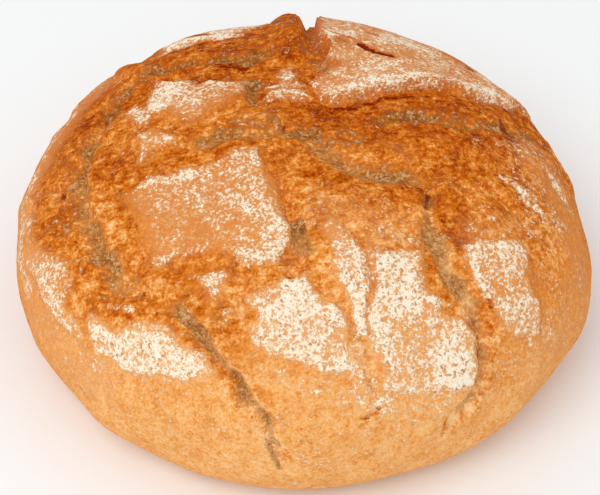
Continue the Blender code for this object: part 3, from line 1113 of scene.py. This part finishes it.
class Wire:
    """A number that varies over a surface, with which sums can be written."""

    def __init__(self, bench: "Bench", socket: bpy.types.NodeSocket) -> None:
        """Wraps an output socket."""
        self.bench = bench
        self.socket = socket

    def math(
        self, operation: str, first: "Input", second: "Input" = 0.0, clamp: bool = False
    ) -> "Wire":
        """Adds one Math node.

        Args:
            operation: the sum that it does.
            first: its first value or link.
            second: its second.
            clamp: whether its result is held between 0 and 1.

        Returns:
            Its result.
        """
        settings = {"operation": operation, "use_clamp": clamp}
        made = self.bench.node("Math", settings, {0: first, 1: second})
        return Wire(self.bench, made.outputs[0])

    def __add__(self, other: "Input") -> "Wire":
        """self + other."""
        return self.math("ADD", self, other)

    def __radd__(self, other: float) -> "Wire":
        """other + self."""
        return self.math("ADD", other, self)

    def __sub__(self, other: "Input") -> "Wire":
        """self - other."""
        return self.math("SUBTRACT", self, other)

    def __rsub__(self, other: float) -> "Wire":
        """other - self."""
        return self.math("SUBTRACT", other, self)

    def __mul__(self, other: "Input") -> "Wire":
        """self * other."""
        return self.math("MULTIPLY", self, other)

    def __rmul__(self, other: float) -> "Wire":
        """other * self."""
        return self.math("MULTIPLY", other, self)

    def clamped(self) -> "Wire":
        """Held between 0 and 1."""
        return self.math("ADD", self, 0.0, clamp=True)

    def step(self, low: float, high: float) -> "Wire":
        """Adds a smooth rise, or a fall where high is the less.

        Args:
            low: where it starts.
            high: where it ends.

        Returns:
            0 at low, 1 at high.
        """
        sockets = {
            "Value": self,
            "From Min": min(low, high),
            "From Max": max(low, high),
            "To Min": 0.0 if low < high else 1.0,
            "To Max": 1.0 if low < high else 0.0,
        }
        made = self.bench.node("MapRange", {"interpolation_type": "SMOOTHSTEP"}, sockets)
        return Wire(self.bench, made.outputs["Result"])


Input = Union[Wire, bpy.types.NodeSocket, float, tuple[float, ...]]


class Bench:
    """One material's node tree, and the one way in which its nodes are made."""

    def __init__(self, name: str) -> None:
        """Starts a material that holds one Principled shader.

        Args:
            name: the material's name.
        """
        self.material = bpy.data.materials.new(name)
        self.material.use_nodes = True
        self.tree = self.material.node_tree
        self.shader = self.tree.nodes["Principled BSDF"]

    def feed(self, socket: bpy.types.NodeSocket, value: Input) -> None:
        """Feeds an input.

        Args:
            socket: the input.
            value: a wire or a socket, which is linked to it, or a plain value.
        """
        if isinstance(value, Wire):
            self.tree.links.new(value.socket, socket)
        elif isinstance(value, bpy.types.NodeSocket):
            self.tree.links.new(value, socket)
        else:
            socket.default_value = value

    def node(
        self, kind: str, settings: dict[str, object], sockets: dict[str | int, Input]
    ) -> bpy.types.Node:
        """Makes one node.

        Args:
            kind: the node's type, without its ShaderNode prefix.
            settings: its own settings, which are set first, with a ramp's colours as stops.
            sockets: its inputs by name or number, as values or links.

        Returns:
            The node.
        """
        made = self.tree.nodes.new("ShaderNode" + kind)
        for name, value in settings.items():
            if name == "stops":
                self.set_stops(made.color_ramp.elements, value)
            else:
                setattr(made, name, value)
        for name, value in sockets.items():
            self.feed(made.inputs[name], value)
        return made

    @staticmethod
    def set_stops(elements: bpy.types.ColorRampElements, stops: Stops) -> None:
        """Sets a ramp's colours.

        Args:
            elements: the ramp's own stops, of which it has two at first.
            stops: each colour with its place between 0 and 1, lowest first.
        """
        for _ in stops[2:]:
            elements.new(0.5)
        for element, (position, colour) in zip(elements, stops):
            element.position = position
            element.color = colour

    def mark(self, mark: Mark) -> Wire:
        """A mark painted on the mesh."""
        made = self.node("Attribute", {"attribute_name": mark.value}, {})
        return Wire(self, made.outputs["Fac"])

    def noise(self, where: Input, size: float, detail: float, roughness: float) -> Wire:
        """Noise whose lumps are about one size, read at a vector in millimetres."""
        sockets = {"Vector": where, "Scale": 1 / size, "Detail": detail, "Roughness": roughness}
        return Wire(self, self.node("TexNoise", {}, sockets).outputs["Fac"])

    def pits(self, where: Input, size: float) -> Wire:
        """Distance from the nearest of many scattered points, 0 at a point."""
        made = self.node("TexVoronoi", {}, {"Vector": where, "Scale": 1 / size})
        return Wire(self, made.outputs["Distance"])

    def grains(self, where: Input, size: float) -> Wire:
        """Small grains of one size, each with a shade of its own between 0 and 1."""
        made = self.node("TexVoronoi", {}, {"Vector": where, "Scale": 1 / size})
        return Wire(self, made.outputs["Color"])

    def ramp(self, where: Wire, stops: Stops) -> bpy.types.NodeSocket:
        """Colours along a scale.

        Args:
            where: the place on the scale.
            stops: each colour with its own place on the scale, lowest first.

        Returns:
            The colour.
        """
        low, high = stops[0][0], stops[-1][0]
        placed = tuple(((place - low) / (high - low), colour) for place, colour in stops)
        share = (where - low) * (1 / (high - low))
        return self.node("ValToRGB", {"stops": placed}, {0: share}).outputs["Color"]

    def mix(self, share: Input, low: Input, high: Input) -> bpy.types.NodeSocket:
        """A colour between two colours."""
        sockets = {0: share, 6: low, 7: high}
        return self.node("Mix", {"data_type": "RGBA"}, sockets).outputs[2]

    def stretched(self, where: Input, turn: float, along: float) -> bpy.types.NodeSocket:
        """A vector turned about Z and stretched along X, for noise that runs in streaks."""
        sockets = {"Vector": where, "Rotation": (0, 0, turn), "Scale": (along, 1, 1)}
        return self.node("Mapping", {"vector_type": "TEXTURE"}, sockets).outputs["Vector"]


@dataclass(frozen=True)
class Weights:
    """How strongly each noise breaks up a layer of the crust's finish."""

    blotch: float = 0.0
    lump: float = 0.0
    grain: float = 0.0
    streak: float = 0.0
    speck: float = 0.0
    clump: float = 0.0
    fleck: float = 0.0


@dataclass(frozen=True)
class Unevenness:
    """The crust's noises, from broad blotches to fine flecks, each varying round 0."""

    blotch: Wire
    lump: Wire
    grain: Wire
    streak: Wire
    speck: Wire
    clump: Wire
    fleck: Wire

    @classmethod
    def drawn(cls, bench: Bench, place: bpy.types.NodeSocket) -> "Unevenness":
        """Makes the noises' nodes.

        Args:
            bench: the material that they are made in.
            place: the place on the loaf in millimetres.

        Returns:
            The noises.
        """
        # The streaks' turns in radians, and how many times as long as wide they are.
        across, down = (
            bench.noise(bench.stretched(place, turn, along), size=1.7, detail=3.0, roughness=0.6)
            for turn, along in ((0.1, 3.6), (-0.75, 4.0))
        )
        slant = bench.mark(Mark.SLANT)
        return cls(
            blotch=bench.noise(place, size=12.0, detail=3.0, roughness=0.5) - 0.5,
            lump=bench.noise(place, size=3.8, detail=2.0, roughness=0.6) - 0.5,
            grain=bench.noise(place, size=1.4, detail=2.0, roughness=0.7) - 0.5,
            streak=across * (1 - slant) + down * slant - 0.5,
            speck=bench.grains(place, size=0.75) - 0.5,
            clump=bench.noise(place, size=2.6, detail=2.0, roughness=0.6) - 0.5,
            fleck=bench.noise(place, size=1.3, detail=2.0, roughness=0.6) - 0.5,
        )

    def mixed(self, weights: Weights) -> Wire:
        """Adds the noises up.

        Args:
            weights: the share of each; a noise whose share is 0 is left out.

        Returns:
            Their weighted sum, which varies round 0.
        """
        shares = {field.name: getattr(weights, field.name) for field in fields(weights)}
        parts = [getattr(self, name) * share for name, share in shares.items() if share]
        return functools.reduce(operator.add, parts)


@dataclass(frozen=True)
class Layer:
    """A layer that shows where a mark, times its gain, and the noises are high enough.

    Its strength is how much it hides of what lies below, where it shows in full.
    """

    noises: Weights
    gain: float
    offset: float
    rise: Span
    strength: float

    def cover(self, mark: Wire, uneven: Unevenness) -> Wire:
        """Works out how much of the layer shows.

        Args:
            mark: the mark that it follows.
            uneven: the crust's noises.

        Returns:
            0 where the sum is at the start of the rise, 1 at its end.
        """
        return (mark * self.gain + self.offset + uneven.mixed(self.noises)).step(*self.rise)


@dataclass(frozen=True)
class CrustFinish:
    """The baked crust: torn and browned, grey in its cracks, smooth below, dusted on top.

    The fields stand in the order in which the layers lie: the bake with its colours from
    pale to burnt, the crumb with its own from dark to light and with painted shade in the
    gaps between its lumps, the scorch, which also paints the shade under a lip and in a
    narrow slot, the veil of thin flour, and the grains of flour with their pores, which
    show the crust in painted shade. Sizes are in millimetres, apart from the bumps' height,
    which is in metres.
    """

    bake: Stops = (
        (-0.4, tint(255, 206, 146)),
        (0.0, tint(246, 176, 102)),
        (0.3, tint(230, 142, 58)),
        (0.6, tint(212, 116, 28)),
        (1.0, tint(186, 84, 4)),
        (1.5, tint(140, 46, 0)),
    )
    torn_bake: Weights = Weights(blotch=1.6, lump=2.3, grain=1.6, streak=1.1, speck=0.5)
    whole_bake: Weights = Weights(blotch=0.6, lump=0.7, grain=1.1, speck=0.35)

    crumb: Stops = (
        (0.0, tint(110, 68, 24)),
        (0.35, tint(156, 106, 54)),
        (0.6, tint(188, 134, 78)),
        (1.0, tint(222, 176, 124)),
    )
    opening: Layer = Layer(
        noises=Weights(blotch=1.8, lump=2.2, grain=1.4),
        gain=1.6,
        offset=-0.55,
        rise=(-0.05, 1.05),
        strength=0.9,
    )
    crumb_light: float = 0.86
    crumb_baking: float = 0.26
    crumb_noises: Weights = Weights(lump=1.9, grain=2.2, speck=0.6)
    # The crumb's cells, and how much painted shade darkens them away from their middles.
    hole_size: float = 2.4
    hole_shade_strength: float = 0.6

    # The dark red-brown of scorched crust, which also paints the shade under a lip and in a narrow
    # slot.
    scorched_and_shaded: Colour = tint(128, 32, 0)
    scorching_and_shading: Layer = Layer(
        noises=Weights(lump=1.6, grain=1.8, streak=0.8),
        gain=1.25,
        offset=-0.2,
        rise=(0.25, 1.05),
        strength=0.92,
    )

    dusted: Colour = tint(236, 168, 114)
    veil: float = 0.62
    veil_noises: Weights = Weights(blotch=1.2, lump=1.4, grain=1.6)

    thin_flour: Colour = tint(242, 188, 130)
    flour: Colour = tint(252, 239, 215)
    flour_noises: Weights = Weights(blotch=0.9, streak=0.25, speck=0.65, clump=1.5, fleck=1.0)
    flour_burnt_off: float = 1.3
    flour_shows: Span = (0.08, 0.84)
    flour_whitens: Span = (0.32, 0.98)
    # The crust that shows in the pores between flour grains, in the colour it has in shade: partly
    # painted shade.
    pore_crust_in_shade: Colour = tint(186, 114, 54)
    pore_size: float = 1.1
    pore_grain: float = 1.5
    pore_edge: Span = (0.27, 0.1)
    pore_strength: float = 0.85

    crust_roughness: float = 0.75
    flour_roughness: float = 0.95
    specular: float = 0.03
    bump_noises: Weights = Weights(lump=0.8, grain=0.6)
    streak_bump: float = 0.5
    flour_bump: float = 0.25
    bump_strength: float = 0.8
    bump_height: float = 0.0009

    def baked(self, bench: Bench, uneven: Unevenness) -> bpy.types.NodeSocket:
        """The bare crust, rugged where it tore open and smooth where its skin is whole.

        Args:
            bench: the material.
            uneven: the crust's noises.

        Returns:
            Its colour.
        """
        torn = bench.mark(Mark.TORN)
        rugged = uneven.mixed(self.torn_bake) * torn
        smooth = uneven.mixed(self.whole_bake) * (1 - torn)
        return bench.ramp(bench.mark(Mark.BAKE) + rugged + smooth, self.bake)

    def opened(
        self,
        bench: Bench,
        place: bpy.types.NodeSocket,
        uneven: Unevenness,
        crust: bpy.types.NodeSocket,
    ) -> bpy.types.NodeSocket:
        """Lays the grey crumb over the crust, in the cracks and in patches.

        Args:
            bench: the material.
            place: the place on the loaf in millimetres.
            uneven: the crust's noises.
            crust: the colour below.

        Returns:
            The colour with the crumb in it.
        """
        # Painted shade: the crumb darkens away from scattered points, so its lumps stand light with
        # darker gaps between.
        hole_shade = bench.pits(place, self.hole_size) * self.hole_shade_strength
        light = self.crumb_light - bench.mark(Mark.BAKE) * self.crumb_baking - hole_shade
        crumb = bench.ramp(light + uneven.mixed(self.crumb_noises), self.crumb)
        share = self.opening.cover(bench.mark(Mark.VEIN), uneven) * self.opening.strength
        return bench.mix(share, crust, crumb)

    def scorched_and_dusted(
        self, bench: Bench, uneven: Unevenness, crust: bpy.types.NodeSocket
    ) -> bpy.types.NodeSocket:
        """Scorches the crust and lays the painted shade in the same colour, and veils it with thin
        flour where neither lies.

        Args:
            bench: the material.
            uneven: the crust's noises.
            crust: the colour below.

        Returns:
            The colour with the scorch, the painted shade and the veil.
        """
        # The scorch mark also carries painted shade, laid in the scorched colour.
        scorch = self.scorching_and_shading.cover(bench.mark(Mark.SCORCH), uneven)
        crust = bench.mix(scorch * self.scorching_and_shading.strength, crust, self.scorched_and_shaded)
        even = (uneven.mixed(self.veil_noises) + self.veil).clamped()
        return bench.mix(bench.mark(Mark.DUST) * even * (1 - scorch), crust, self.dusted)

    def floured(
        self, bench: Bench, place: bpy.types.NodeSocket, uneven: Unevenness
    ) -> tuple[Wire, bpy.types.NodeSocket]:
        """Works out the grains of flour and the pores between them.

        Args:
            bench: the material.
            place: the place on the loaf in millimetres.
            uneven: the crust's noises.

        Returns:
            How much the flour covers, and its colour.
        """
        # No flour shows where the crust is scorched or shade is painted.
        load = bench.mark(Mark.FLOUR) - bench.mark(Mark.SCORCH) * self.flour_burnt_off
        amount = load + uneven.mixed(self.flour_noises)
        cover = amount.step(*self.flour_shows)
        white = bench.mix(amount.step(*self.flour_whitens), self.thin_flour, self.flour)
        pores = bench.grains(place, self.pore_size) + uneven.grain * self.pore_grain
        # Painted shade in part: the pores between the flour grains show the crust as it looks in
        # shade.
        share = pores.step(*self.pore_edge) * cover * self.pore_strength
        return cover, bench.mix(share, white, self.pore_crust_in_shade)

    def make(self) -> bpy.types.Material:
        """Builds the material.

        Returns:
            The material, which reads the marks on the mesh that it is given to.
        """
        bench = Bench("baked_crust")
        metres = bench.node("TexCoord", {}, {}).outputs["Object"]
        scaled = bench.node("VectorMath", {"operation": "SCALE"}, {0: metres, "Scale": 1 / MM})
        place = scaled.outputs[0]
        uneven = Unevenness.drawn(bench, place)
        crust = self.opened(bench, place, uneven, self.baked(bench, uneven))
        crust = self.scorched_and_dusted(bench, uneven, crust)
        cover, white = self.floured(bench, place, uneven)
        inputs = bench.shader.inputs
        bench.feed(inputs["Base Color"], bench.mix(cover, crust, white))
        rough = cover * (self.flour_roughness - self.crust_roughness) + self.crust_roughness
        bench.feed(inputs["Roughness"], rough)
        inputs["Specular IOR Level"].default_value = self.specular
        bumps = uneven.mixed(self.bump_noises) + cover * self.flour_bump
        bumps = bumps + uneven.streak * (1 - cover) * self.streak_bump
        sockets = {"Strength": self.bump_strength, "Distance": self.bump_height, "Height": bumps}
        bench.feed(inputs["Normal"], bench.node("Bump", {}, sockets).outputs["Normal"])
        return bench.material


@dataclass(frozen=True)
class FloorFinish:
    """The pale, matt studio floor."""

    colour: Colour = tint(249, 252, 253)
    roughness: float = 0.9

    def make(self) -> bpy.types.Material:
        """Builds the material.

        Returns:
            The material.
        """
        bench = Bench("studio_floor")
        bench.shader.inputs["Base Color"].default_value = self.colour
        bench.shader.inputs["Roughness"].default_value = self.roughness
        return bench.material


# ---------------------------------------------------------------- the pieces


@dataclass
class Loaf:
    """The whole loaf: its crust as one closed mesh, marked and dressed.

    A cube whose faces are halved so many times becomes the crust's grid, and a density above
    1 draws its lines towards the crown. The flat layout puts the sole, from its share of the
    full way on, apart from the crust; its radii are shares of the layout's side, and the
    margin keeps the crust's rim clear of the edge.
    """

    form: Round
    relief: Relief
    painting: Painting
    finish: CrustFinish
    halvings: int = 7
    crown_density: float = 1.12
    sole_from: float = 0.69
    uv_radius: float = 0.495
    uv_margin: float = 1.03
    sole_uv_radius: float = 0.08
    piece: bpy.types.Object | None = None

    def sphere(self) -> bpy.types.Object:
        """Divides a cube into a fine grid and blows it up into an even sphere.

        Returns:
            The sphere, of radius 1, which becomes the loaf.
        """
        shape = bmesh.new()
        bmesh.ops.create_cube(shape, size=2.0)
        mesh = bpy.data.meshes.new("baked_loaf")
        shape.to_mesh(mesh)
        shape.free()
        cube = bpy.data.objects.new("cube", mesh)
        bpy.context.scene.collection.objects.link(cube)
        divide = cube.modifiers.new("divide", "SUBSURF")
        divide.subdivision_type = "SIMPLE"
        divide.levels = divide.render_levels = self.halvings
        graph = bpy.context.evaluated_depsgraph_get()
        fine = bpy.data.meshes.new_from_object(cube.evaluated_get(graph))
        bpy.data.objects.remove(cube)
        fine.name = "baked_loaf"
        corners = np.empty(len(fine.vertices) * 3)
        fine.vertices.foreach_get("co", corners)
        corners = np.tan(corners.reshape(-1, 3) * math.pi / 4)
        corners /= np.linalg.norm(corners, axis=1, keepdims=True)
        fine.vertices.foreach_set("co", corners.ravel())
        loaf = bpy.data.objects.new("baked_loaf", fine)
        bpy.context.scene.collection.objects.link(loaf)
        return loaf

    def spread(self, mesh: bpy.types.Mesh) -> CrustPlaces:
        """Draws the sphere's vertices onto the smooth round.

        Args:
            mesh: a unit sphere, whose vertices are moved.

        Returns:
            Where each vertex lies.
        """
        ball = np.empty(len(mesh.vertices) * 3)
        mesh.vertices.foreach_get("co", ball)
        ball = ball.reshape(-1, 3)
        ways, shares, heights = self.form.profile()
        bearing = np.arctan2(ball[:, 1], ball[:, 0])
        turn = np.arccos(np.clip(ball[:, 2], -1.0, 1.0)) / math.pi
        way = turn**self.crown_density * ways[-1]
        radius = np.interp(way, ways, shares) * self.form.girth_radius(bearing)
        compass = np.column_stack((np.cos(bearing), np.sin(bearing)))
        points = np.column_stack((compass * radius[:, None], np.interp(way, ways, heights)))
        mesh.vertices.foreach_set("co", (points * MM).ravel())
        mesh.update()
        return CrustPlaces(points, compass * way[:, None], way, ways[-1])

    def raise_relief(self, mesh: bpy.types.Mesh, crust: CrustPlaces, torn: Array) -> None:
        """Moves the vertices out by the relief, centres the loaf and cuts its sole flat.

        Args:
            mesh: the smooth round, whose vertices are moved.
            crust: the vertices' places.
            torn: their shifted places.
        """
        normals = np.empty(len(crust.points) * 3)
        mesh.vertices.foreach_get("normal", normals)
        height = self.relief.height(crust, torn)
        points = crust.points + normals.reshape(-1, 3) * height[:, None]
        points[:, :2] -= (points[:, :2].max(axis=0) + points[:, :2].min(axis=0)) / 2
        points[:, 2] = np.maximum(points[:, 2], 0.0)
        mesh.vertices.foreach_set("co", (points * MM).ravel())
        mesh.update()

    def mark(self, mesh: bpy.types.Mesh, crust: CrustPlaces, torn: Array) -> None:
        """Paints every mark on the mesh.

        Args:
            mesh: the loaf's mesh.
            crust: the vertices' places.
            torn: their shifted places.
        """
        for mark, values in self.painting.marks(crust, torn).items():
            layer = mesh.attributes.new(mark.value, "FLOAT", "POINT")
            layer.data.foreach_set("value", values.astype(np.float32))

    def unroll(self, mesh: bpy.types.Mesh, crust: CrustPlaces) -> None:
        """Lays the crust out as one disc, with the sole as a small disc in a corner.

        Args:
            mesh: the loaf's mesh, which gets the layout.
            crust: the vertices' places.
        """
        corner = np.empty(len(mesh.loops), np.int32)
        mesh.loops.foreach_get("vertex_index", corner)
        sole_way = self.sole_from * crust.full_way
        sole = crust.way[corner].reshape(-1, 4).min(axis=1) > sole_way
        on_sole = np.repeat(sole, 4)
        rolled_out = crust.places[corner] / (sole_way * self.uv_margin)
        crust_map = rolled_out * self.uv_radius + 0.5
        low = crust.points[corner][:, :2] / crust.points[:, :2].max() * self.sole_uv_radius
        layout = np.where(on_sole[:, None], low + self.sole_uv_radius, crust_map)
        layer = mesh.uv_layers.new(name="OFBake")
        layer.data.foreach_set("uv", layout.ravel())

    def build(self) -> None:
        """Makes the crust's mesh."""
        self.piece = self.sphere()
        mesh = self.piece.data
        crust = self.spread(mesh)
        torn = self.relief.torn_places(crust)
        self.raise_relief(mesh, crust, torn)
        self.mark(mesh, crust, torn)
        self.unroll(mesh, crust)
        mesh.shade_smooth()

    def dress(self) -> None:
        """Gives the crust its finish and its place in the frame."""
        self.piece.data.materials.append(self.finish.make())
        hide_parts("loaf")
        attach(self.piece, "root")
        LOG.info("baked_loaf: %d faces", len(self.piece.data.polygons))


@dataclass
class Studio:
    """The floor, the soft lights and the camera.

    Sizes and places are in metres, the lamp's power in watts, the camera's elevation in
    degrees and its lens in millimetres.
    """

    floor_side: float = 6.0
    sky: float = 0.78
    key_power: float = 9.0
    key_side: float = 1.2
    key_place: Point = (-0.55, -0.75, 1.5)
    elevation: float = 48.0
    distance: float = 1.0
    lens: float = 138.7
    aim: Point = (-0.0016, 0.0, 0.0345)

    def lay_floor(self) -> None:
        """Lays the floor under the loaf."""
        shape = bmesh.new()
        bmesh.ops.create_grid(shape, x_segments=1, y_segments=1, size=self.floor_side / 2)
        mesh = bpy.data.meshes.new("floor")
        shape.to_mesh(mesh)
        shape.free()
        floor = bpy.data.objects.new("floor", mesh)
        bpy.context.scene.collection.objects.link(floor)
        floor.location.z = CAD_BOX[0][2]
        mesh.materials.append(FloorFinish().make())

    def hang_lights(self) -> None:
        """Lights the room evenly, with one large soft lamp above the front left."""
        world = bpy.data.worlds.new("studio")
        bpy.context.scene.world = world
        world.use_nodes = True
        air = world.node_tree.nodes["Background"].inputs
        air["Color"].default_value = (1, 1, 1, 1)
        air["Strength"].default_value = self.sky
        lamp = bpy.data.lights.new("key", "AREA")
        lamp.shape = "DISK"
        lamp.size = self.key_side
        lamp.energy = self.key_power
        key = bpy.data.objects.new("key", lamp)
        bpy.context.scene.collection.objects.link(key)
        key.location = self.key_place
        key.rotation_euler = (-Vector(self.key_place)).to_track_quat("-Z", "Y").to_euler()

    def set_camera(self) -> None:
        """Looks down on the loaf from its front."""
        view = bpy.data.cameras.new("camera")
        view.lens = self.lens
        camera = bpy.data.objects.new("camera", view)
        bpy.context.scene.collection.objects.link(camera)
        tilt = math.radians(self.elevation)
        way = Vector((0.0, math.cos(tilt), -math.sin(tilt)))
        camera.location = Vector(self.aim) - way * self.distance
        camera.rotation_euler = way.to_track_quat("-Z", "Y").to_euler()
        bpy.context.scene.camera = camera

    def build(self) -> None:
        """Sets the whole studio up."""
        bpy.context.scene.view_settings.view_transform = "Standard"
        self.lay_floor()
        self.hang_lights()
        self.set_camera()


def main() -> None:
    """Builds the loaf and its studio."""
    logging.basicConfig(level=logging.INFO, format="%(name)s: %(message)s")
    loaf = Loaf(Round(), Relief(), Painting(), CrustFinish())
    loaf.build()
    loaf.dress()
    Studio().build()


if __name__ == "__main__":
    main()
